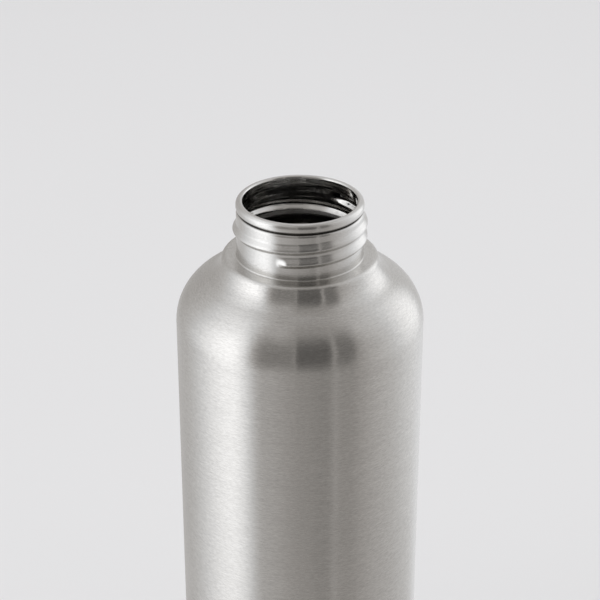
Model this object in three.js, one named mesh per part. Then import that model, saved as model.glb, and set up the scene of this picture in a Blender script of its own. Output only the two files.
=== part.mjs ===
// Insulated stainless steel bottle with an open, threaded neck.
// Millimetres, +Z up, origin at the middle of the foot, on the surface that the bottle stands on.
// Every wall is a sheet: an outline turned round the axis, given a thickness towards the inside.

import * as THREE from 'three';

// Body
const BOTTLE_HEIGHT = 265;
const BODY_RADIUS = 42.5;
const SHELL_WALL = 0.5;
const SHOULDER_RADIUS = 18.05;

// Collar under the neck, with the flat ledge that stops a cap
const LEDGE_WIDTH = 5.25;
const COLLAR_HEIGHT = 6.4;
const COLLAR_EDGE_RADIUS = 1.8;
const COLLAR_TILT = THREE.MathUtils.degToRad(13);

// Neck and its curled lip
const NECK_HEIGHT = 20;
const NECK_RADIUS = 21.5;
const NECK_WALL = 0.7;
const NECK_TAIL = 3;
const NECK_TOP_RADIUS = 1;
const LIP_PROUD = 0.1;
const LIP_HEIGHT = 3.1;
const LIP_OUTER_RADIUS = 1.6;
const LIP_INNER_RADIUS = 0.8;
const LIP_EDGE_RADIUS = 0.9;
const LIP_GROOVE_WIDTH = 0.5;
const LIP_GROOVE_DEPTH = 1.3;

// Right-hand thread, rolled into the neck's sheet
const THREAD_PITCH = 4.75;
const THREAD_TURNS = 1.48;
const THREAD_DEPTH = 1.25;
const THREAD_UPPER_FLANK = 2.5;
const THREAD_LOWER_FLANK = 1.75;
const THREAD_EASE = 0.3;
const THREAD_TOP_GAP = 4;
const THREAD_START_ANGLE = THREE.MathUtils.degToRad(-112);
const THREAD_RUN_IN = 0.035;
const THREAD_RUN_OUT = 0.06;

// Inner vessel
const LINER_WALL = 0.4;
const VACUUM_GAP = 3.6;
const LINER_FLARE_RADIUS = 4;
const LINER_RIM_DROP = 19;
const LINER_RIM_RADIUS = 0.75;
const LINER_SEAM_HEIGHT = 16;
const LINER_CORNER_RADIUS = 8;
const LINER_BASE_CROWN = 2;

// Foot and outer base
const FOOT_CORNER_RADIUS = 4.5;
const FOOT_LAND_WIDTH = 3.5;
const FOOT_INNER_RADIUS = 1.2;
const RECESS_DEPTH = 3.2;
const BASE_SEAM_HEIGHT = 9;
const BASE_LAP = 5;
const BASE_GAP = 6.5;

// Dimple with the hole through which the air was drawn out, and the glass bead that closes it
const DIMPLE_RADIUS = 7;
const DIMPLE_RISE = 2;
const DIMPLE_DRAFT = 1;
const EVACUATION_HOLE_RADIUS = 1.2;
const SEAL_THICKNESS = 1.2;
const SEAL_MARGIN = 1;

// Disc that hides the dimple
const COVER_THICKNESS = 0.5;
const COVER_BAND_WIDTH = 7;
const COVER_BAND_DROP = 0.8;

// Getter pellet and the hat that holds it
const PELLET_RADIUS = 4;
const PELLET_HEIGHT = 2.2;
const PELLET_CHAMFER = 0.4;
const CLIP_THICKNESS = 0.3;
const CLIP_FLANGE_WIDTH = 2;
const CLIP_WINDOW_RADIUS = 2.8;

// Heat shield
const FOIL_THICKNESS = 0.1;
const FOIL_MARGIN = 4;
const FOIL_SLIT = THREE.MathUtils.degToRad(2);

// Fits between pieces
const FIT = 0.2;
const SEAM_GAP = 0.1;
const COVER_GAP = 0.3;

// Fineness of the facets
const FACETS = 40;
const SMALL_FACETS = 20;
const ARC_STEP = THREE.MathUtils.degToRad(17);
const COARSE_ARC_STEP = THREE.MathUtils.degToRad(34);
const SMALL_ARC_STEP = THREE.MathUtils.degToRad(46);
const THREAD_ROWS = 16;
const DISH_ROWS = 2;

// Heights and radii that several pieces share
const ledgeZ = BOTTLE_HEIGHT - NECK_HEIGHT;
const collarRadius = NECK_RADIUS + LEDGE_WIDTH;
const crownZ = ledgeZ - COLLAR_HEIGHT;
const lipZ = BOTTLE_HEIGHT - LIP_HEIGHT;
const threadStartZ = lipZ - THREAD_TOP_GAP - THREAD_PITCH * THREAD_TURNS;
const shoulderR = BODY_RADIUS - SHOULDER_RADIUS;
const shoulderZ = crownZ - SHOULDER_RADIUS;
const linerRadius = BODY_RADIUS - SHELL_WALL - VACUUM_GAP;
const stubRadius = NECK_RADIUS - NECK_WALL - FIT;
const landOuterRadius = BODY_RADIUS - FOOT_CORNER_RADIUS;
const landInnerRadius = landOuterRadius - FOOT_LAND_WIDTH;
const recessRadius = landInnerRadius - FOOT_INNER_RADIUS;
const baseFloorZ = RECESS_DEPTH + SHELL_WALL;
const linerBaseZ = baseFloorZ + BASE_GAP;
const linerSeamZ = linerBaseZ + LINER_SEAM_HEIGHT;
const getterR = (DIMPLE_RADIUS + recessRadius) / 2;

const point = (r, z) => new THREE.Vector2(r, z);

// Points along a round stretch of an outline, from one angle to another
function arc(centreR, centreZ, radius, from, to, step = ARC_STEP) {
  const count = Math.max(2, Math.ceil(Math.abs(to - from) / step));
  return Array.from({ length: count + 1 }, (_, i) => {
    const angle = from + ((to - from) * i) / count;
    return point(centreR + radius * Math.cos(angle), centreZ + radius * Math.sin(angle));
  });
}

// Unit vector to the left of the way from one point of an outline to the next
function leftOf(a, b) {
  const way = b.clone().sub(a).normalize();
  return point(-way.y, way.x);
}

// The same outline moved to its left by a wall's thickness; what starts on the axis stays on it
function offset(outline, wall) {
  const last = outline.length - 1;
  return outline.map((p, i) => {
    const before = leftOf(outline[Math.max(i - 1, 0)], outline[Math.max(i, 1)]);
    const after = leftOf(outline[Math.min(i, last - 1)], outline[Math.min(i + 1, last)]);
    const reach = wall / (1 + before.dot(after));
    const moved = p.clone().addScaledVector(before.add(after), reach);
    return p.x === 0 ? point(0, moved.y) : moved;
  });
}

// Closed section of a sheet with the given outer outline, and an optional rolled edge where it ends
function sheet(outline, wall, rim = []) {
  const section = [...outline, ...rim, ...offset(outline, wall).reverse()];
  const onAxis = outline[0].x === 0;
  return onAxis ? section : [...section, outline[0].clone()];
}

// Turns a section round the Z axis
function revolve(section, facets = FACETS) {
  return new THREE.LatheGeometry(section, facets).rotateX(Math.PI / 2);
}

// Outline of a wall that runs up a cylinder, over a round shoulder and up a cove that touches it;
// the cove ends where the wall leans back from the upright by no more than the tilt
function shoulderOutline(startR, startZ, radius, coveR, coveRadius, tilt = 0) {
  const reach = radius + coveRadius;
  const turn = Math.acos(Math.max((coveR - shoulderR) / reach, 0));
  const coveZ = shoulderZ + reach * Math.sin(turn);
  const cove = arc(coveR, coveZ, coveRadius, turn + Math.PI, tilt + Math.PI);
  const flatBetween = coveR < shoulderR;
  return [
    point(startR, startZ),
    ...arc(shoulderR, shoulderZ, radius, 0, turn),
    ...(flatBetween ? cove : cove.slice(1)),
  ];
}

// Drawn outer wall: body, shoulder, collar and ledge, open at both ends
function outerShell() {
  const edgeR = collarRadius - COLLAR_EDGE_RADIUS;
  const edgeZ = ledgeZ - COLLAR_EDGE_RADIUS;
  const edge = point(edgeR - shoulderR, edgeZ - shoulderZ);
  const facing = point(Math.cos(COLLAR_TILT), Math.sin(COLLAR_TILT));
  const within = SHOULDER_RADIUS - COLLAR_EDGE_RADIUS;
  const coveReach = (edge.lengthSq() - within ** 2) / (2 * (within - edge.dot(facing)));
  const coveR = edgeR + coveReach * facing.x;
  const coveRadius = coveReach - COLLAR_EDGE_RADIUS;
  const outline = [
    ...shoulderOutline(BODY_RADIUS, BASE_SEAM_HEIGHT, SHOULDER_RADIUS, coveR, coveRadius, COLLAR_TILT),
    ...arc(edgeR, edgeZ, COLLAR_EDGE_RADIUS, COLLAR_TILT, Math.PI / 2, SMALL_ARC_STEP).slice(1),
    point(NECK_RADIUS + FIT, ledgeZ),
  ];
  return revolve(sheet(outline, SHELL_WALL));
}

// A fall from 1 to 0 over a share of its length: straight, with both ends eased
function easedFall(share) {
  const bend = 2 * THREAD_EASE * (1 - THREAD_EASE);
  if (share < THREAD_EASE) {
    return 1 - share ** 2 / bend;
  }
  if (share > 1 - THREAD_EASE) {
    return Math.max(1 - share, 0) ** 2 / bend;
  }
  return (1 - THREAD_EASE / 2 - share) / (1 - THREAD_EASE);
}

// How far the rolled thread stands out of the neck at an angle and a height
function threadBead(angle, z) {
  const firstTurn = THREE.MathUtils.euclideanModulo((angle - THREAD_START_ANGLE) / (2 * Math.PI), 1);
  let bead = 0;
  for (let turn = firstTurn; turn <= THREAD_TURNS; turn += 1) {
    const rise = z - threadStartZ - THREAD_PITCH * turn;
    const flank = rise > 0 ? THREAD_UPPER_FLANK : THREAD_LOWER_FLANK;
    const runIn = THREE.MathUtils.smoothstep(turn, 0, THREAD_RUN_IN);
    const runOut = THREE.MathUtils.smoothstep(THREAD_TURNS - turn, 0, THREAD_RUN_OUT);
    const swell = easedFall(Math.abs(rise) / flank);
    bead = Math.max(bead, THREAD_DEPTH * swell * Math.min(runIn, runOut));
  }
  return bead;
}

// Neck: a sheet that passes through the collar, carries the thread and curls over into the lip
function neckRing() {
  const lipRadius = NECK_RADIUS + LIP_PROUD;
  const crownR = lipRadius - LIP_OUTER_RADIUS;
  const grooveR = NECK_RADIUS - LIP_GROOVE_DEPTH;
  const neckTopZ = lipZ - LIP_GROOVE_WIDTH;
  const threadTopZ = neckTopZ - NECK_TOP_RADIUS;
  const threadFootZ = threadStartZ - THREAD_LOWER_FLANK;
  const tailZ = ledgeZ - NECK_TAIL;
  const wallRows = Array.from({ length: THREAD_ROWS + 1 }, (_, i) =>
    THREE.MathUtils.lerp(threadFootZ, threadTopZ, i / THREAD_ROWS));
  const outside = [tailZ, ...wallRows].map((z) => point(NECK_RADIUS, z));
  const inside = [tailZ, ...wallRows].map((z) => point(NECK_RADIUS - NECK_WALL, z)).reverse();
  const roundOff = (r, z, radius, from) => arc(r, z, radius, from, from + Math.PI / 2, COARSE_ARC_STEP);
  const lip = [
    ...roundOff(NECK_RADIUS - NECK_TOP_RADIUS, threadTopZ, NECK_TOP_RADIUS, 0).slice(1),
    point(grooveR, neckTopZ),
    point(grooveR, lipZ),
    ...roundOff(lipRadius - LIP_EDGE_RADIUS, lipZ + LIP_EDGE_RADIUS, LIP_EDGE_RADIUS, -Math.PI / 2),
    ...roundOff(crownR, BOTTLE_HEIGHT - LIP_OUTER_RADIUS, LIP_OUTER_RADIUS, 0),
    ...roundOff(crownR, BOTTLE_HEIGHT - LIP_INNER_RADIUS, LIP_INNER_RADIUS, Math.PI / 2).slice(1),
    point(crownR - LIP_INNER_RADIUS, neckTopZ),
  ];
  const geometry = revolve([...outside, ...lip, ...inside, outside[0].clone()]);
  const position = geometry.getAttribute('position');
  for (let i = 0; i < position.count; i += 1) {
    const x = position.getX(i);
    const y = position.getY(i);
    const z = position.getZ(i);
    if (z < threadTopZ && z > threadFootZ) {
      const radius = Math.hypot(x, y);
      const swollen = (radius + threadBead(Math.atan2(y, x), z)) / radius;
      position.setXY(i, x * swollen, y * swollen);
    }
  }
  return geometry;
}

// Inner vessel: body, shoulder and a stub that stands inside the neck and ends in a rolled rim
function innerLiner() {
  const rimZ = BOTTLE_HEIGHT - LINER_RIM_DROP - LINER_RIM_RADIUS;
  const rimR = stubRadius - LINER_RIM_RADIUS;
  const shoulder = SHOULDER_RADIUS - SHELL_WALL - VACUUM_GAP;
  const underside = 2 * Math.PI - Math.acos((LINER_RIM_RADIUS - LINER_WALL) / LINER_RIM_RADIUS);
  const flareR = stubRadius + LINER_FLARE_RADIUS;
  const outline = [
    ...shoulderOutline(linerRadius, linerSeamZ, shoulder, flareR, LINER_FLARE_RADIUS),
    point(stubRadius, rimZ - LINER_RIM_RADIUS),
  ];
  const rim = arc(rimR, rimZ, LINER_RIM_RADIUS, 0, underside, SMALL_ARC_STEP);
  return revolve(sheet(outline, LINER_WALL, rim));
}

// Dished bottom of the inner vessel, butted to the liner
function linerBase() {
  const cornerR = linerRadius - LINER_CORNER_RADIUS;
  const cornerZ = linerBaseZ + LINER_CORNER_RADIUS;
  const dish = Array.from({ length: DISH_ROWS }, (_, i) => {
    const share = i / DISH_ROWS;
    return point(cornerR * share, linerBaseZ + LINER_BASE_CROWN * (1 - share ** 2));
  });
  const outline = [
    ...dish,
    ...arc(cornerR, cornerZ, LINER_CORNER_RADIUS, -Math.PI / 2, 0, COARSE_ARC_STEP),
    point(linerRadius, linerSeamZ - SEAM_GAP),
  ];
  return revolve(sheet(outline, LINER_WALL));
}

// Stamped bottom of the outer wall: dimple and hole, recess, foot, and a rim that laps inside the shell
function outerBase() {
  const dimpleZ = RECESS_DEPTH + DIMPLE_RISE;
  const lapRadius = BODY_RADIUS - SHELL_WALL - FIT;
  const stepZ = BASE_SEAM_HEIGHT - SEAM_GAP;
  const down = -Math.PI / 2;
  const outline = [
    point(EVACUATION_HOLE_RADIUS, dimpleZ),
    point(DIMPLE_RADIUS - DIMPLE_DRAFT, dimpleZ),
    point(DIMPLE_RADIUS, RECESS_DEPTH),
    point(recessRadius, RECESS_DEPTH),
    ...arc(landInnerRadius, FOOT_INNER_RADIUS, FOOT_INNER_RADIUS, -Math.PI, down, SMALL_ARC_STEP),
    ...arc(landOuterRadius, FOOT_CORNER_RADIUS, FOOT_CORNER_RADIUS, down, 0, COARSE_ARC_STEP),
    point(BODY_RADIUS, stepZ),
    point(lapRadius, stepZ),
    point(lapRadius, BASE_SEAM_HEIGHT + BASE_LAP),
  ];
  return revolve(sheet(outline, SHELL_WALL));
}

// Plain stamped disc in the recess of the foot
function baseCover() {
  const coverRadius = recessRadius - COVER_GAP;
  const bandRadius = coverRadius - COVER_BAND_WIDTH;
  const panelZ = RECESS_DEPTH - SEAM_GAP - COVER_THICKNESS;
  const bandZ = panelZ - COVER_BAND_DROP;
  const outline = [
    point(0, panelZ),
    point(bandRadius - COVER_BAND_DROP, panelZ),
    point(bandRadius, bandZ),
    point(coverRadius, bandZ),
  ];
  return revolve(sheet(outline, COVER_THICKNESS));
}

// Glass bead under the dimple, with the plug that fills the hole
function vacuumSeal() {
  const roofZ = RECESS_DEPTH + DIMPLE_RISE - SEAM_GAP;
  const sealRadius = DIMPLE_RADIUS - DIMPLE_DRAFT - SEAL_MARGIN;
  const plugRadius = EVACUATION_HOLE_RADIUS - FIT;
  const edge = SEAL_THICKNESS / 2;
  const section = [
    point(0, roofZ - SEAL_THICKNESS),
    ...arc(sealRadius - edge, roofZ - edge, edge, -Math.PI / 2, Math.PI / 2, SMALL_ARC_STEP),
    point(plugRadius, roofZ),
    point(plugRadius, roofZ + SHELL_WALL),
    point(0, roofZ + SHELL_WALL),
  ];
  return revolve(section, SMALL_FACETS);
}

// Pellet with chamfered edges, standing on the outer base
function getterPill() {
  const section = [
    point(0, SEAM_GAP),
    point(PELLET_RADIUS - PELLET_CHAMFER, SEAM_GAP),
    point(PELLET_RADIUS, SEAM_GAP + PELLET_CHAMFER),
    point(PELLET_RADIUS, SEAM_GAP + PELLET_HEIGHT - PELLET_CHAMFER),
    point(PELLET_RADIUS - PELLET_CHAMFER, SEAM_GAP + PELLET_HEIGHT),
    point(0, SEAM_GAP + PELLET_HEIGHT),
  ];
  return revolve(section, SMALL_FACETS);
}

// Hat over the pellet: a flange on the outer base, a wall, and a brim with a window for the gas
function getterClip() {
  const wallRadius = PELLET_RADIUS + FIT + CLIP_THICKNESS;
  const flangeZ = SEAM_GAP + CLIP_THICKNESS;
  const brimZ = SEAM_GAP + PELLET_HEIGHT + FIT + CLIP_THICKNESS;
  const outline = [
    point(wallRadius + CLIP_FLANGE_WIDTH, flangeZ),
    point(wallRadius, flangeZ),
    point(wallRadius, brimZ),
    point(CLIP_WINDOW_RADIUS, brimZ),
  ];
  return revolve(sheet(outline, CLIP_THICKNESS), SMALL_FACETS);
}

// Foil wrapped round the straight part of the liner, with an open slit where its ends meet
function copperFoil() {
  const innerRadius = linerRadius + FIT;
  const outerRadius = innerRadius + FOIL_THICKNESS;
  const lowZ = linerSeamZ + FOIL_MARGIN;
  const highZ = shoulderZ - FOIL_MARGIN;
  const ring = new THREE.Shape();
  ring.absarc(0, 0, outerRadius, FOIL_SLIT, 2 * Math.PI - FOIL_SLIT, false);
  ring.absarc(0, 0, innerRadius, 2 * Math.PI - FOIL_SLIT, FOIL_SLIT, true);
  const geometry = new THREE.ExtrudeGeometry(ring, {
    depth: highZ - lowZ,
    bevelEnabled: false,
    curveSegments: FACETS,
  });
  return geometry.translate(0, 0, lowZ);
}

// Finishes
const brushedSteel = { color: 0xb9b7b2, roughness: 0.32, metalness: 1 };
const polishedSteel = { color: 0xc4c3c0, roughness: 0.16, metalness: 1 };
const drawnSteel = { color: 0xa6a5a2, roughness: 0.4, metalness: 1 };
const copper = { color: 0xb87350, roughness: 0.3, metalness: 1 };
const sealingGlass = { color: 0x3b4a44, roughness: 0.2, metalness: 0 };
const getterPowder = { color: 0x4a4845, roughness: 0.85, metalness: 0 };

const bottle = new THREE.Group();

function addPiece(name, geometry, finish) {
  const mesh = new THREE.Mesh(geometry, new THREE.MeshStandardMaterial(finish));
  mesh.name = name;
  bottle.add(mesh);
  return mesh;
}

addPiece('outer_shell', outerShell(), brushedSteel);
addPiece('neck_ring', neckRing(), polishedSteel);
addPiece('inner_liner', innerLiner(), polishedSteel);
addPiece('liner_base', linerBase(), polishedSteel);
addPiece('outer_base', outerBase(), brushedSteel);
addPiece('base_cover', baseCover(), brushedSteel);
addPiece('vacuum_seal', vacuumSeal(), sealingGlass);
addPiece('copper_foil', copperFoil(), copper);
addPiece('getter_pill', getterPill(), getterPowder).position.set(getterR, 0, baseFloorZ);
addPiece('getter_clip', getterClip(), drawnSteel).position.set(getterR, 0, baseFloorZ);

export default bottle;
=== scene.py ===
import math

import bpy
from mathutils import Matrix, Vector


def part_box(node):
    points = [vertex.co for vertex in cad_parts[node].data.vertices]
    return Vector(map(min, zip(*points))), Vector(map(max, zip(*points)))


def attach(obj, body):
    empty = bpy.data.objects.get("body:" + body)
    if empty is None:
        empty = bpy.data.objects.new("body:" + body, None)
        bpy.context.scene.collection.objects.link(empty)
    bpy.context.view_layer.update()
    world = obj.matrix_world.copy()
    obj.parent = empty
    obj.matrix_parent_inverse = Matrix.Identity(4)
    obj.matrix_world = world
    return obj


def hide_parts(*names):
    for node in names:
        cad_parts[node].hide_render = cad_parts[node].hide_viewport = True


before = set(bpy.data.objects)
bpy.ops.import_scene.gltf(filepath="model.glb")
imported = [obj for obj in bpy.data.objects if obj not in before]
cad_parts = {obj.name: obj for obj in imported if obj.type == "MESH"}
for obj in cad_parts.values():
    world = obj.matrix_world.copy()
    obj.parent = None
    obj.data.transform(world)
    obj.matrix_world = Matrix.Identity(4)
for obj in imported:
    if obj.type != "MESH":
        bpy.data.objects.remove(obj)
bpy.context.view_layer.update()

# Looks of an insulated steel bottle with an open, threaded neck.
# Each visible wall is turned again, finely and smoothly, with the outline and the size of its CAD node.
# Metres, +Z up, the bottle's axis on Z and its foot on z = 0; outlines are lists of (radius, height).

MM = 0.001

# Sizes that the frame gives
shell_low, shell_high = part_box("outer_shell")
neck_low, neck_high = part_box("neck_ring")
liner_low, liner_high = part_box("inner_liner")
liner_base_low, liner_base_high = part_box("liner_base")
base_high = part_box("outer_base")[1]
cover_low, cover_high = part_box("base_cover")

BODY_RADIUS = shell_high[0]
BOTTLE_HEIGHT = neck_high[2]
LEDGE_Z = shell_high[2]
BASE_SEAM_Z = shell_low[2]
NECK_TAIL_Z = neck_low[2]
LINER_RADIUS = liner_high[0]
LINER_SEAM_Z = liner_low[2]
LINER_RIM_Z = liner_high[2]
LINER_BASE_Z = liner_base_low[2]
LINER_BASE_TOP_Z = liner_base_high[2]
BASE_TOP_Z = base_high[2]
COVER_RADIUS = cover_high[0]
COVER_BAND_Z = cover_low[2]

# Sizes inside the outlines, the same as in the part
SHELL_WALL = 0.5 * MM
SHOULDER_RADIUS = 18.05 * MM
LEDGE_WIDTH = 5.25 * MM
COLLAR_HEIGHT = 6.4 * MM
COLLAR_EDGE_RADIUS = 1.8 * MM
COLLAR_TILT = math.radians(13)
NECK_RADIUS = 21.5 * MM
NECK_WALL = 0.7 * MM
NECK_TOP_RADIUS = 1 * MM
NECK_FILLET = 0.5 * MM
LIP_PROUD = 0.1 * MM
LIP_HEIGHT = 3.1 * MM
LIP_OUTER_RADIUS = 1.6 * MM
LIP_INNER_RADIUS = 0.8 * MM
LIP_EDGE_RADIUS = 0.9 * MM
LIP_GROOVE_WIDTH = 0.5 * MM
LIP_GROOVE_DEPTH = 1.3 * MM
THREAD_PITCH = 4.75 * MM
THREAD_TURNS = 1.48
THREAD_DEPTH = 1.25 * MM
THREAD_UPPER_FLANK = 2.5 * MM
THREAD_LOWER_FLANK = 1.75 * MM
THREAD_EASE = 0.3
THREAD_TOP_GAP = 4 * MM
THREAD_START_ANGLE = math.radians(-112)
THREAD_RUN_IN = 0.035
THREAD_RUN_OUT = 0.06
LINER_WALL = 0.4 * MM
LINER_FLARE_RADIUS = 4 * MM
LINER_RIM_RADIUS = 0.75 * MM
LINER_CORNER_RADIUS = 8 * MM
LINER_BASE_CROWN = 2 * MM
VACUUM_GAP = 3.6 * MM
FOOT_CORNER_RADIUS = 4.5 * MM
FOOT_LAND_WIDTH = 3.5 * MM
FOOT_INNER_RADIUS = 1.2 * MM
RECESS_DEPTH = 3.2 * MM
DIMPLE_RADIUS = 7 * MM
DIMPLE_RISE = 2 * MM
DIMPLE_DRAFT = 1 * MM
HOLE_RADIUS = 1.2 * MM
COVER_THICKNESS = 0.5 * MM
COVER_BAND_WIDTH = 7 * MM
COVER_BAND_DROP = 0.8 * MM
COVER_BEND_RADIUS = 0.6 * MM
FIT = 0.2 * MM

# Middle of the shoulder's round
SHOULDER_R = BODY_RADIUS - SHOULDER_RADIUS
SHOULDER_Z = LEDGE_Z - COLLAR_HEIGHT - SHOULDER_RADIUS

# Heights on the neck
LIP_Z = BOTTLE_HEIGHT - LIP_HEIGHT
THREAD_START_Z = LIP_Z - THREAD_TOP_GAP - THREAD_PITCH * THREAD_TURNS
THREAD_FOOT_Z = THREAD_START_Z - THREAD_LOWER_FLANK
NECK_TOP_Z = LIP_Z - LIP_GROOVE_WIDTH
THREAD_TOP_Z = NECK_TOP_Z - NECK_TOP_RADIUS

# Fineness
SEGMENTS = 288
ARC_STEP = math.radians(5)
THREAD_ROWS = 84
SHARP_ANGLE = math.radians(40)

# Camera, from the photograph's ellipses and edges: focal length in pixels of the 600-pixel frame
FRAME_PIXELS = 600
FOCAL_PIXELS = 1838.4
SENSOR_WIDTH = 36
CAMERA_DISTANCE = 630.3 * MM
CAMERA_PITCH = math.radians(27.21)
AIM_BELOW_LIP = 37.9 * MM


# Outlines

def arc(r, z, radius, start, end):
    """Points of a round stretch about (r, z), from one angle to another."""
    count = max(2, math.ceil(abs(end - start) / ARC_STEP))
    angles = [start + (end - start) * i / count for i in range(count + 1)]
    return [(r + radius * math.cos(a), z + radius * math.sin(a)) for a in angles]


def rounded(before, corner, after, radius):
    """A corner of an outline as an arc of about that radius."""
    corner_v = Vector(corner)
    to_before = (Vector(before) - corner_v).normalized()
    to_after = (Vector(after) - corner_v).normalized()
    half = to_before.angle(to_after) / 2
    reach = radius / math.tan(half)
    centre = corner_v + (to_before + to_after).normalized() * radius / math.sin(half)
    start = corner_v + to_before * reach - centre
    end = corner_v + to_after * reach - centre
    turn = start.angle_signed(end)
    count = max(2, math.ceil(abs(turn) / ARC_STEP))
    first = math.atan2(start.y, start.x)
    angles = [first - turn * i / count for i in range(count + 1)]
    return [(centre.x + radius * math.cos(a), centre.y + radius * math.sin(a)) for a in angles]


def offset(outline, wall):
    """The outline moved to its left by a wall's thickness."""
    moved = []
    last = len(outline) - 1
    for i, (r, z) in enumerate(outline):
        normals = []
        for a, b in ((max(i - 1, 0), max(i, 1)), (min(i, last - 1), min(i + 1, last))):
            way = Vector(outline[b]) - Vector(outline[a])
            normals.append(Vector((-way.y, way.x)).normalized())
        shift = (normals[0] + normals[1]) * wall / (1 + normals[0].dot(normals[1]))
        moved.append((0 if r == 0 else r + shift.x, z + shift.y))
    return moved


def sheet(outline, wall, rim=()):
    """Closed section of a sheet with that outer outline, and an optional rolled edge where it ends."""
    return [*outline, *rim, *reversed(offset(outline, wall))]


def shoulder_outline(start_r, start_z, radius, cove_r, cove_radius, tilt=0):
    """A wall that runs up a cylinder, over a round shoulder and up a cove, to the cove's last tilt."""
    reach = radius + cove_radius
    flat_between = cove_r < SHOULDER_R
    turn = math.acos(max((cove_r - SHOULDER_R) / reach, 0))
    cove_z = SHOULDER_Z + reach * math.sin(turn)
    cove = arc(cove_r, cove_z, cove_radius, turn + math.pi, tilt + math.pi)
    return [
        (start_r, start_z),
        *arc(SHOULDER_R, SHOULDER_Z, radius, 0, turn),
        *(cove if flat_between else cove[1:]),
    ]


# Meshes

def turned(name, section, bulge=None):
    """A closed section turned round the Z axis; bulge(angle, z) moves the wall outwards."""
    ring_angles = [2 * math.pi * i / SEGMENTS for i in range(SEGMENTS)]
    vertices = []
    rows = []
    for r, z in section:
        if r == 0:
            rows.append([len(vertices)] * SEGMENTS)
            vertices.append((0, 0, z))
            continue
        rows.append(range(len(vertices), len(vertices) + SEGMENTS))
        for angle in ring_angles:
            radius = r + (bulge(angle, z) if bulge else 0)
            vertices.append((radius * math.cos(angle), radius * math.sin(angle), z))
    on_axis = section[0][0] == 0
    pairs = list(zip(rows, rows[1:])) + ([] if on_axis else [(rows[-1], rows[0])])
    faces = []
    for low, high in pairs:
        for i in range(SEGMENTS):
            j = (i + 1) % SEGMENTS
            corners = dict.fromkeys((low[i], low[j], high[j], high[i]))
            faces.append(tuple(corners))
    mesh = bpy.data.meshes.new(name)
    mesh.from_pydata(vertices, [], faces)
    mesh.shade_smooth()
    mesh.set_sharp_from_angle(angle=SHARP_ANGLE)
    piece = bpy.data.objects.new(name, mesh)
    bpy.context.collection.objects.link(piece)
    return piece


def outer_shell():
    """Body, shoulder, collar and ledge; a small fillet closes the ledge against the neck."""
    edge_r = NECK_RADIUS + LEDGE_WIDTH - COLLAR_EDGE_RADIUS
    edge_z = LEDGE_Z - COLLAR_EDGE_RADIUS
    fillet_r = NECK_RADIUS + NECK_FILLET
    edge = Vector((edge_r - SHOULDER_R, edge_z - SHOULDER_Z))
    facing = Vector((math.cos(COLLAR_TILT), math.sin(COLLAR_TILT)))
    within = SHOULDER_RADIUS - COLLAR_EDGE_RADIUS
    cove_reach = (edge.length_squared - within ** 2) / (2 * (within - edge.dot(facing)))
    cove_r = edge_r + cove_reach * facing.x
    cove_radius = cove_reach - COLLAR_EDGE_RADIUS
    outline = [
        *shoulder_outline(BODY_RADIUS, BASE_SEAM_Z, SHOULDER_RADIUS, cove_r, cove_radius, COLLAR_TILT),
        *arc(edge_r, edge_z, COLLAR_EDGE_RADIUS, COLLAR_TILT, math.pi / 2)[1:],
        *arc(fillet_r, LEDGE_Z + NECK_FILLET, NECK_FILLET, -math.pi / 2, -math.pi),
    ]
    return turned("shell_wall", sheet(outline, SHELL_WALL))


def smoothstep(value, start, end):
    """A smooth rise from 0 at the start to 1 at the end."""
    share = min(max((value - start) / (end - start), 0), 1)
    return share * share * (3 - 2 * share)


def eased_fall(share):
    """A fall from 1 to 0 over a share of its length: straight, with both ends eased."""
    bend = 2 * THREAD_EASE * (1 - THREAD_EASE)
    if share < THREAD_EASE:
        return 1 - share ** 2 / bend
    if share > 1 - THREAD_EASE:
        return max(1 - share, 0) ** 2 / bend
    return (1 - THREAD_EASE / 2 - share) / (1 - THREAD_EASE)


def thread_bead(angle, z):
    """How far the rolled thread stands out of the neck at an angle and a height."""
    if not THREAD_FOOT_Z < z < THREAD_TOP_Z:
        return 0
    bead = 0
    turn = ((angle - THREAD_START_ANGLE) / (2 * math.pi)) % 1
    while turn <= THREAD_TURNS:
        rise = z - THREAD_START_Z - THREAD_PITCH * turn
        flank = THREAD_UPPER_FLANK if rise > 0 else THREAD_LOWER_FLANK
        run_in = smoothstep(turn, 0, THREAD_RUN_IN)
        run_out = smoothstep(THREAD_TURNS - turn, 0, THREAD_RUN_OUT)
        swell = eased_fall(abs(rise) / flank)
        bead = max(bead, THREAD_DEPTH * swell * min(run_in, run_out))
        turn += 1
    return bead


def neck_ring():
    """Neck sheet with the rolled thread inside and out, and the lip curled over its top."""
    lip_r = NECK_RADIUS + LIP_PROUD
    crown_r = lip_r - LIP_OUTER_RADIUS
    lip_inner_r = crown_r - LIP_INNER_RADIUS
    root_r = NECK_RADIUS - LIP_GROOVE_DEPTH
    inner_r = NECK_RADIUS - NECK_WALL
    quarter = math.pi / 2
    heights = [
        THREAD_FOOT_Z + (THREAD_TOP_Z - THREAD_FOOT_Z) * i / THREAD_ROWS for i in range(THREAD_ROWS + 1)
    ]
    outside = [(NECK_RADIUS, z) for z in (NECK_TAIL_Z, *heights)]
    inside = [(inner_r, z) for z in reversed((NECK_TAIL_Z, *heights))]
    lip = [
        *arc(NECK_RADIUS - NECK_TOP_RADIUS, THREAD_TOP_Z, NECK_TOP_RADIUS, 0, quarter)[1:],
        (root_r, NECK_TOP_Z),
        (root_r, LIP_Z),
        *arc(lip_r - LIP_EDGE_RADIUS, LIP_Z + LIP_EDGE_RADIUS, LIP_EDGE_RADIUS, -quarter, 0),
        *arc(crown_r, BOTTLE_HEIGHT - LIP_OUTER_RADIUS, LIP_OUTER_RADIUS, 0, quarter),
        *arc(crown_r, BOTTLE_HEIGHT - LIP_INNER_RADIUS, LIP_INNER_RADIUS, quarter, math.pi)[1:],
        (lip_inner_r, NECK_TOP_Z),
    ]
    return turned("neck_wall", [*outside, *lip, *inside], thread_bead)


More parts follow.
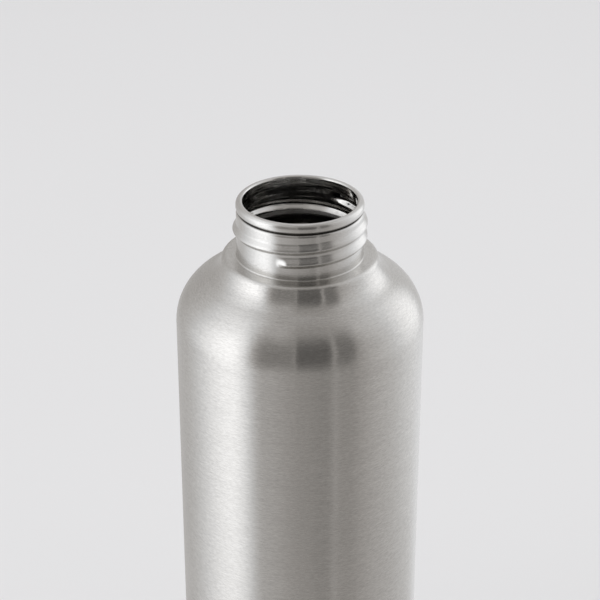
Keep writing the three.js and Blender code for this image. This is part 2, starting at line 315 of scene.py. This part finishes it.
def inner_liner():
    """Inner vessel with the stub inside the neck and its rolled rim."""
    stub_r = NECK_RADIUS - NECK_WALL - FIT
    rim_z = LINER_RIM_Z - LINER_RIM_RADIUS
    rim_r = stub_r - LINER_RIM_RADIUS
    shoulder = SHOULDER_RADIUS - SHELL_WALL - VACUUM_GAP
    underside = 2 * math.pi - math.acos((LINER_RIM_RADIUS - LINER_WALL) / LINER_RIM_RADIUS)
    flare_r = stub_r + LINER_FLARE_RADIUS
    outline = [
        *shoulder_outline(LINER_RADIUS, LINER_SEAM_Z, shoulder, flare_r, LINER_FLARE_RADIUS),
        (stub_r, rim_z - LINER_RIM_RADIUS),
    ]
    rim = arc(rim_r, rim_z, LINER_RIM_RADIUS, 0, underside)
    return turned("liner_wall", sheet(outline, LINER_WALL, rim))


def liner_base():
    """Dished bottom of the inner vessel."""
    corner_r = LINER_RADIUS - LINER_CORNER_RADIUS
    dish_radius = (corner_r ** 2 + LINER_BASE_CROWN ** 2) / (2 * LINER_BASE_CROWN)
    dish_end = math.pi / 2 - math.asin(corner_r / dish_radius)
    dish = arc(0, LINER_BASE_Z + LINER_BASE_CROWN - dish_radius, dish_radius, math.pi / 2, dish_end)
    outline = [
        (0, LINER_BASE_Z + LINER_BASE_CROWN),
        *dish[1:-1],
        *arc(corner_r, LINER_BASE_Z + LINER_CORNER_RADIUS, LINER_CORNER_RADIUS, -math.pi / 2, 0),
        (LINER_RADIUS, LINER_BASE_TOP_Z),
    ]
    return turned("liner_bottom", sheet(outline, LINER_WALL))


def outer_base():
    """Stamped bottom of the outer wall, from the dimple's hole to the rim that laps inside the shell."""
    down = -math.pi / 2
    land_outer_r = BODY_RADIUS - FOOT_CORNER_RADIUS
    land_inner_r = land_outer_r - FOOT_LAND_WIDTH
    recess_r = land_inner_r - FOOT_INNER_RADIUS
    lap_r = BODY_RADIUS - SHELL_WALL - FIT
    dimple_z = RECESS_DEPTH + DIMPLE_RISE
    outline = [
        (HOLE_RADIUS, dimple_z),
        (DIMPLE_RADIUS - DIMPLE_DRAFT, dimple_z),
        (DIMPLE_RADIUS, RECESS_DEPTH),
        (recess_r, RECESS_DEPTH),
        *arc(land_inner_r, FOOT_INNER_RADIUS, FOOT_INNER_RADIUS, -math.pi, down),
        *arc(land_outer_r, FOOT_CORNER_RADIUS, FOOT_CORNER_RADIUS, down, 0),
        (BODY_RADIUS, BASE_SEAM_Z),
        (lap_r, BASE_SEAM_Z),
        (lap_r, BASE_TOP_Z),
    ]
    return turned("foot_wall", sheet(outline, SHELL_WALL))


def base_cover():
    """Stamped disc in the recess of the foot."""
    band_r = COVER_RADIUS - COVER_BAND_WIDTH
    panel_z = COVER_BAND_Z + COVER_BAND_DROP
    step_in = (band_r - COVER_BAND_DROP, panel_z)
    step_out = (band_r, COVER_BAND_Z)
    edge = (COVER_RADIUS, COVER_BAND_Z)
    outline = [
        (0, panel_z),
        *rounded((0, panel_z), step_in, step_out, COVER_BEND_RADIUS),
        *rounded(step_in, step_out, edge, COVER_BEND_RADIUS),
        edge,
    ]
    return turned("base_disc", sheet(outline, COVER_THICKNESS))


# Node trees

def feed(tree, socket, value):
    """Links a socket to its source, or sets a plain value on it."""
    if isinstance(value, bpy.types.NodeSocket):
        tree.links.new(value, socket)
    else:
        socket.default_value = value


def add_node(tree, kind, inputs=None, **settings):
    node = tree.nodes.new(kind)
    for name, value in settings.items():
        setattr(node, name, value)
    for key, value in (inputs or {}).items():
        feed(tree, node.inputs[key], value)
    return node


def calc(tree, operation, *values):
    node = add_node(tree, "ShaderNodeMath", dict(enumerate(values)), operation=operation)
    return node.outputs[0]


def vector_calc(tree, operation, *values):
    """A vector operation's result: a number for lengths and dot products, or else a vector."""
    node = add_node(tree, "ShaderNodeVectorMath", dict(enumerate(values)), operation=operation)
    return node.outputs["Value" if operation in ("LENGTH", "DOT_PRODUCT") else "Vector"]


def scaled(tree, vector, scale):
    node = add_node(tree, "ShaderNodeVectorMath", {0: vector, "Scale": scale}, operation="SCALE")
    return node.outputs["Vector"]


def spread(tree, value, low, high, start=0.0, end=1.0, smooth=False):
    """The value's stretch from start to end, spread over low to high."""
    inputs = {"Value": value, "From Min": start, "From Max": end, "To Min": low, "To Max": high}
    kind = "SMOOTHSTEP" if smooth else "LINEAR"
    return add_node(tree, "ShaderNodeMapRange", inputs, interpolation_type=kind).outputs["Result"]


def fade_band(tree, value, stops):
    """A band that fades in over the first two stops and out over the last two."""
    rise = spread(tree, value, 0, 1, stops[0], stops[1], smooth=True)
    fall = spread(tree, value, 1, 0, stops[2], stops[3], smooth=True)
    return calc(tree, "MULTIPLY", rise, fall)


def blend(tree, share, first, second):
    node = add_node(tree, "ShaderNodeMix", data_type="RGBA")
    sockets = [s for s in node.inputs if s.type == "RGBA"]
    feed(tree, node.inputs["Factor"], share)
    feed(tree, sockets[0], first)
    feed(tree, sockets[1], second)
    return next(s for s in node.outputs if s.type == "RGBA")


def noise(tree, vector, detail):
    inputs = {"Vector": vector, "Scale": 1.0, "Detail": detail, "Roughness": NOISE_ROUGHNESS}
    return add_node(tree, "ShaderNodeTexNoise", inputs).outputs[0]


def object_position(tree):
    return add_node(tree, "ShaderNodeTexCoord").outputs["Object"]


def rough_surface(tree, shader, height, strength, distance):
    bump = add_node(tree, "ShaderNodeBump", {"Strength": strength, "Distance": distance, "Height": height})
    feed(tree, shader.inputs["Normal"], bump.outputs[0])


# Materials

# Noise on turned steel: features on the unit circle, features a metre along the outline, detail
FINE_LINES = (26.0, 3000.0, 2.0)
LONG_BANDS = (3.0, 900.0, 3.0)
HANDLING_CLOUDS = (1.2, 28.0, 2.0)
INNER_RINGS = (1.0, 1100.0, 2.0)
NOISE_ROUGHNESS = 0.55
BAND_SHARE = 0.25
QUARTER_TURN = 0.25

# The stretch of a noise that is used, and how far it changes the roughness
LINE_RANGE = (0.3, 0.7)
CLOUD_RANGE = (0.35, 0.65)
LINE_WEAR = (0.95, 1.05)
CLOUD_WEAR = (0.92, 1.1)

# Colours of the steels, each between a dark and a light line
BRUSHED = ((0.52, 0.508, 0.487, 1), (0.69, 0.677, 0.65, 1))
POLISHED = ((0.6, 0.59, 0.57, 1), (0.68, 0.67, 0.65, 1))
LINING = ((0.55, 0.545, 0.53, 1), (0.63, 0.625, 0.61, 1))
DRAWN = ((0.42, 0.42, 0.41, 1), (0.52, 0.52, 0.51, 1))

# Marks on the neck: painted shade darkening the crevice under the lip, and inside a finer polish, drawn
# rings and a dull weld
CREVICE_PAINTED_SHADE = (0.3, 0.292, 0.28, 1)
CREVICE_SHADE_BAND = (NECK_TOP_Z - 0.4 * MM, NECK_TOP_Z - 0.05 * MM, LIP_Z + 0.05 * MM, LIP_Z + 0.3 * MM)
WELD_BAND = tuple(THREAD_FOOT_Z + rise * MM for rise in (0.4, 1.8, 2.4, 3.2))
INNER_ROUGHNESS = 0.09
WELD_ROUGHNESS = 0.36
INNER_RING_TILT = 0.4
INNER_FACING = (-0.3, 0.1)

# Other finishes
FOIL_COLOURS = ((0.66, 0.32, 0.2, 1), (0.83, 0.46, 0.32, 1))
FOIL_CRINKLES_PER_METRE = 160.0
GLASS_COLOURS = ((0.035, 0.06, 0.05, 1), (0.09, 0.13, 0.11, 1))
GLASS_BUBBLES_PER_METRE = 2200.0
POWDER_COLOURS = ((0.05, 0.048, 0.046, 1), (0.11, 0.105, 0.1, 1))
POWDER_GRAINS_PER_METRE = 4000.0
FLOOR_COLOURS = ((0.785, 0.785, 0.79, 1), (0.815, 0.815, 0.82, 1))


def new_material(name):
    material = bpy.data.materials.new(name)
    material.use_nodes = True
    tree = material.node_tree
    return material, tree, tree.nodes["Principled BSDF"]


def lathe_grain(tree, lean):
    """Where a point lies round the axis, as a unit circle, and how far along the turned outline."""
    position = object_position(tree)
    xyz = add_node(tree, "ShaderNodeSeparateXYZ", {0: position}).outputs
    flat = add_node(tree, "ShaderNodeCombineXYZ", {0: xyz[0], 1: xyz[1]}).outputs[0]
    radius = vector_calc(tree, "LENGTH", flat)
    unit = vector_calc(tree, "NORMALIZE", flat)
    along = calc(tree, "MULTIPLY_ADD", radius, lean, xyz[2])
    return unit, along


def streaks(tree, grain, per_turn, per_metre, detail):
    """Noise that is drawn out round the axis."""
    unit, along = grain
    ring = scaled(tree, unit, per_turn)
    lift = add_node(tree, "ShaderNodeCombineXYZ", {2: calc(tree, "MULTIPLY", along, per_metre)}).outputs[0]
    return noise(tree, vector_calc(tree, "ADD", ring, lift), detail)


def grooved_normal(tree, unit, tilt):
    """The surface's normal, leaned along the outline by grooves that run round the axis."""
    normal = add_node(tree, "ShaderNodeNewGeometry").outputs["Normal"]
    round_axis = vector_calc(tree, "CROSS_PRODUCT", (0, 0, 1), unit)
    outline = vector_calc(tree, "CROSS_PRODUCT", normal, round_axis)
    return vector_calc(tree, "NORMALIZE", vector_calc(tree, "ADD", normal, scaled(tree, outline, tilt)))


def neck_marks_and_crevice_shade(tree, grain, colour, roughness, tilt):
    """Colour, roughness and groove tilt of the neck, with painted shade in its crevice, and its inner
    polish, rings and weld.
    """
    height = add_node(tree, "ShaderNodeSeparateXYZ", {0: object_position(tree)}).outputs[2]
    # Painted shade: the base colour is darkened in the crevice under the lip, where shade falls
    colour = blend(tree, fade_band(tree, height, CREVICE_SHADE_BAND), colour, CREVICE_PAINTED_SHADE)
    normal = add_node(tree, "ShaderNodeNewGeometry").outputs["True Normal"]
    inside = spread(tree, vector_calc(tree, "DOT_PRODUCT", grain[0], normal), 1, 0, *INNER_FACING)
    inner = spread(tree, fade_band(tree, height, WELD_BAND), INNER_ROUGHNESS, WELD_ROUGHNESS)
    roughness = calc(tree, "MULTIPLY_ADD", inside, calc(tree, "SUBTRACT", inner, roughness), roughness)
    rings = calc(tree, "SUBTRACT", streaks(tree, grain, *INNER_RINGS), 0.5)
    tilt = calc(tree, "MULTIPLY_ADD", calc(tree, "MULTIPLY", rings, INNER_RING_TILT), inside, tilt)
    return colour, roughness, tilt


def turned_steel(name, colours, roughness, anisotropy, groove_tilt, lean=-1, is_neck=False):
    """Steel finished on a lathe: fine lines round the axis, longer bands and faint clouds.

    The lean tells which way the outline runs: -1 where it rises inwards, 1 where it rises outwards.
    """
    material, tree, shader = new_material(name)
    grain = lathe_grain(tree, lean)
    fine = streaks(tree, grain, *FINE_LINES)
    bands = streaks(tree, grain, *LONG_BANDS)
    clouds = streaks(tree, grain, *HANDLING_CLOUDS)
    tone = calc(tree, "MULTIPLY_ADD", bands, BAND_SHARE, calc(tree, "MULTIPLY", fine, 1 - BAND_SHARE))
    colour = blend(tree, spread(tree, tone, 0, 1, *LINE_RANGE), *colours)
    tilt = calc(tree, "MULTIPLY", calc(tree, "SUBTRACT", tone, 0.5), groove_tilt)
    if is_neck:
        colour, roughness, tilt = neck_marks_and_crevice_shade(tree, grain, colour, roughness, tilt)
    line_wear = spread(tree, fine, *LINE_WEAR, *LINE_RANGE)
    cloud_wear = spread(tree, clouds, *CLOUD_WEAR, *CLOUD_RANGE)
    wear = calc(tree, "MULTIPLY", line_wear, cloud_wear)
    tangent = add_node(tree, "ShaderNodeTangent", direction_type="RADIAL", axis="Z").outputs[0]
    feed(tree, shader.inputs["Base Color"], colour)
    feed(tree, shader.inputs["Roughness"], calc(tree, "MULTIPLY", wear, roughness))
    feed(tree, shader.inputs["Normal"], grooved_normal(tree, grain[0], tilt))
    feed(tree, shader.inputs["Tangent"], tangent)
    shader.inputs["Metallic"].default_value = 1.0
    shader.inputs["Anisotropic"].default_value = anisotropy
    shader.inputs["Anisotropic Rotation"].default_value = QUARTER_TURN
    return material


def copper_foil_finish():
    """Thin bright foil, slightly crinkled and stained."""
    material, tree, shader = new_material("copper_foil_finish")
    crinkle = noise(tree, scaled(tree, object_position(tree), FOIL_CRINKLES_PER_METRE), 5.0)
    stain = spread(tree, crinkle, 0, 1, 0.35, 0.7)
    feed(tree, shader.inputs["Base Color"], blend(tree, stain, *FOIL_COLOURS))
    feed(tree, shader.inputs["Roughness"], spread(tree, crinkle, 0.2, 0.38))
    rough_surface(tree, shader, crinkle, 0.5, 0.2 * MM)
    shader.inputs["Metallic"].default_value = 1.0
    return material


def sealing_glass_finish():
    """Dark fused glass with tiny bubbles."""
    material, tree, shader = new_material("sealing_glass_finish")
    inputs = {"Vector": object_position(tree), "Scale": GLASS_BUBBLES_PER_METRE}
    cells = add_node(tree, "ShaderNodeTexVoronoi", inputs).outputs["Distance"]
    bubble = spread(tree, cells, 1, 0, 0.1, 0.3)
    feed(tree, shader.inputs["Base Color"], blend(tree, bubble, *GLASS_COLOURS))
    feed(tree, shader.inputs["Roughness"], spread(tree, bubble, 0.12, 0.3))
    return material


def getter_powder_finish():
    """Pressed metal powder, matt and grainy."""
    material, tree, shader = new_material("getter_powder_finish")
    inputs = {"Vector": object_position(tree), "Scale": POWDER_GRAINS_PER_METRE}
    grains = add_node(tree, "ShaderNodeTexVoronoi", inputs).outputs["Color"]
    shade = add_node(tree, "ShaderNodeSeparateColor", {0: grains}).outputs[0]
    feed(tree, shader.inputs["Base Color"], blend(tree, shade, *POWDER_COLOURS))
    feed(tree, shader.inputs["Roughness"], spread(tree, shade, 0.7, 0.9))
    rough_surface(tree, shader, shade, 0.6, 0.1 * MM)
    return material


def floor_finish():
    """Pale, matt studio floor."""
    material, tree, shader = new_material("floor_finish")
    mottle = noise(tree, object_position(tree), 2.0)
    feed(tree, shader.inputs["Base Color"], blend(tree, mottle, *FLOOR_COLOURS))
    shader.inputs["Roughness"].default_value = 0.9
    shader.inputs["Specular IOR Level"].default_value = 0.0
    return material


# Surroundings, in degrees: azimuth 0 is the camera's side, positive to its right; elevation 0 is level

ROOM_LIGHT = 0.42
BACKDROP_LIGHT = 0.75
ROOM_TINT = (1.04, 1.0, 0.97, 1)
WINDOW_TINT = (0.978, 0.988, 1.014, 1)
TINT_LIGHTS = (0.4, 0.9)

# Lit parts of the room, later ones over earlier ones. Azimuth fades in over the first two numbers and out
# over the last two, and so does elevation; the light comes last.
PANELS = (
    # back and left, and a darker stretch at its horizon
    ((-181, -180, -130, -80), (-90, -60, 50, 85), 0.63),
    ((-181, -180, -150, -125), (-22, -12, 15, 35), 0.53),
    # right and back, and a brighter stretch near the floor
    ((45, 90, 180, 181), (-52, -14, 45, 82), 0.75),
    ((130, 152, 180, 181), (-50, -32, -28, -15), 0.95),
    # ceiling on the left, with a bright patch
    ((-110, -60, -28, -8), (38, 52, 74, 90), 0.56),
    ((-155, -120, -85, -50), (25, 52, 55, 82), 1.12),
    # floor before the bottle, from left to right, with a light seam, and the floor at its foot
    ((-62, -48, -36, 2), (-90, -75, -28, -12), 0.6),
    ((0, 24, 29, 31), (-90, -89, -25, -8), 0.36),
    ((31, 33, 34, 36), (-90, -89, -25, -8), 0.47),
    ((36, 38, 46, 58), (-90, -89, -25, -8), 0.4),
    ((-181, -180, 180, 181), (-91, -90, -74, -52), 0.62),
    # ceiling at the back, on both sides of the azimuth's seam
    ((-181, -180, -168, -145), (38, 52, 70, 88), 0.8),
    ((145, 168, 180, 181), (38, 52, 70, 88), 0.8),
    # window on the left, and the bright wall across from it
    ((-135, -66, -64, -34), (-85, -10, 20, 64), 1.7),
    ((80, 127, 131, 152), (-45, 0, 12, 62), 1.45),
)
# Dark parts of the room behind the camera, whose upright edges lean outwards above the foot's elevation
BLOCKS = (
    ((-49, -26, -6, -4), (-14, -8, 28, 60), 0.265),
    ((-4, -3, 26, 27), (-14, -8, 36, 70), 0.13),
    ((30, 31, 43, 53), (-14, -8, 36, 68), 0.2),
)
BLOCK_LEAN = 0.0045
BLOCK_FOOT = -10


def studio_world():
    """Soft studio: a large window on the left, a paler right and back, a dark room behind the camera."""
    world = bpy.data.worlds.new("studio")
    bpy.context.scene.world = world
    world.use_nodes = True
    tree = world.node_tree
    tree.nodes.clear()
    way = add_node(tree, "ShaderNodeTexCoord").outputs["Generated"]
    x, y, z = add_node(tree, "ShaderNodeSeparateXYZ", {0: way}).outputs
    towards = calc(tree, "MULTIPLY", y, -1.0)
    azimuth = calc(tree, "DEGREES", calc(tree, "ARCTAN2", x, towards))
    elevation = calc(tree, "DEGREES", calc(tree, "ARCSINE", z))
    height = calc(tree, "MAXIMUM", calc(tree, "SUBTRACT", elevation, BLOCK_FOOT), 0.0)
    leaning = calc(tree, "DIVIDE", azimuth, calc(tree, "MULTIPLY_ADD", height, BLOCK_LEAN, 1.0))
    light = ROOM_LIGHT
    views = [(azimuth, *panel) for panel in PANELS] + [(leaning, *block) for block in BLOCKS]
    for across, sideways, upright, level in views:
        in_width = fade_band(tree, across, sideways)
        in_height = fade_band(tree, elevation, upright)
        share = calc(tree, "MULTIPLY", in_width, in_height)
        mixed = add_node(tree, "ShaderNodeMix", {"Factor": share}, data_type="FLOAT")
        feed(tree, mixed.inputs["A"], light)
        feed(tree, mixed.inputs["B"], level)
        light = mixed.outputs["Result"]
    tint = blend(tree, spread(tree, light, 0, 1, *TINT_LIGHTS), ROOM_TINT, WINDOW_TINT)
    room = add_node(tree, "ShaderNodeBackground", {"Color": tint, "Strength": light}).outputs[0]
    pale = (BACKDROP_LIGHT, BACKDROP_LIGHT, BACKDROP_LIGHT, 1)
    backdrop = add_node(tree, "ShaderNodeBackground", {"Color": pale, "Strength": 1.0}).outputs[0]
    seen = add_node(tree, "ShaderNodeLightPath").outputs["Is Camera Ray"]
    mix = add_node(tree, "ShaderNodeMixShader", {0: seen, 1: room, 2: backdrop})
    add_node(tree, "ShaderNodeOutputWorld", {"Surface": mix.outputs[0]})


FLOOR_SIZE = 8
CEILING_LIGHT_HEIGHT = 2.0
CEILING_LIGHT_SIZE = 3.0
CEILING_LIGHT_POWER = 20.0


def stage():
    """Pale floor, and a large soft lamp overhead that lights it."""
    half = FLOOR_SIZE / 2
    corners = [(-half, -half, 0), (half, -half, 0), (half, half, 0), (-half, half, 0)]
    mesh = bpy.data.meshes.new("floor")
    mesh.from_pydata(corners, [], [(0, 1, 2, 3)])
    floor = bpy.data.objects.new("floor", mesh)
    bpy.context.collection.objects.link(floor)
    mesh.materials.append(floor_finish())
    floor.visible_glossy = False
    lamp = bpy.data.lights.new("ceiling_light", "AREA")
    lamp.size = CEILING_LIGHT_SIZE
    lamp.energy = CEILING_LIGHT_POWER
    holder = bpy.data.objects.new("ceiling_light", lamp)
    holder.location = (0, 0, CEILING_LIGHT_HEIGHT)
    holder.visible_glossy = False
    holder.visible_camera = False
    bpy.context.collection.objects.link(holder)


def camera():
    """The photograph's camera: aimed at the axis a little below the lip, looking down."""
    data = bpy.data.cameras.new("camera")
    data.sensor_width = SENSOR_WIDTH
    data.lens = FOCAL_PIXELS * SENSOR_WIDTH / FRAME_PIXELS
    holder = bpy.data.objects.new("camera", data)
    aim_z = BOTTLE_HEIGHT - AIM_BELOW_LIP
    back = CAMERA_DISTANCE * math.cos(CAMERA_PITCH)
    rise = CAMERA_DISTANCE * math.sin(CAMERA_PITCH)
    holder.location = (0, -back, aim_z + rise)
    holder.rotation_euler = (math.pi / 2 - CAMERA_PITCH, 0, 0)
    bpy.context.collection.objects.link(holder)
    bpy.context.scene.camera = holder


def dress(piece, node, material):
    """Gives a turned wall its material and puts it in its CAD node's place."""
    piece.data.materials.append(material)
    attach(piece, "root")
    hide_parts(node)


def repaint(node, material):
    """Gives a CAD node that is kept its own material."""
    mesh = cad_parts[node].data
    mesh.materials.clear()
    mesh.materials.append(material)


brushing = {"roughness": 0.22, "anisotropy": 0.95, "groove_tilt": 0.01}
brushed = turned_steel("brushed_steel", BRUSHED, **brushing)
brushed_foot = turned_steel("brushed_foot", BRUSHED, **brushing, lean=1)
polished = turned_steel(
    "neck_steel", POLISHED, roughness=0.2, anisotropy=0.88, groove_tilt=0.16, is_neck=True)
lining = turned_steel("liner_steel", LINING, roughness=0.3, anisotropy=0.2, groove_tilt=0.05)
drawn = turned_steel("clip_steel", DRAWN, roughness=0.36, anisotropy=0.2, groove_tilt=0.1)

dress(outer_shell(), "outer_shell", brushed)
dress(neck_ring(), "neck_ring", polished)
dress(inner_liner(), "inner_liner", lining)
dress(liner_base(), "liner_base", lining)
dress(outer_base(), "outer_base", brushed_foot)
dress(base_cover(), "base_cover", brushed_foot)
repaint("copper_foil", copper_foil_finish())
repaint("vacuum_seal", sealing_glass_finish())
repaint("getter_pill", getter_powder_finish())
repaint("getter_clip", drawn)

studio_world()
stage()
camera()
bpy.context.scene.view_settings.view_transform = "Standard"
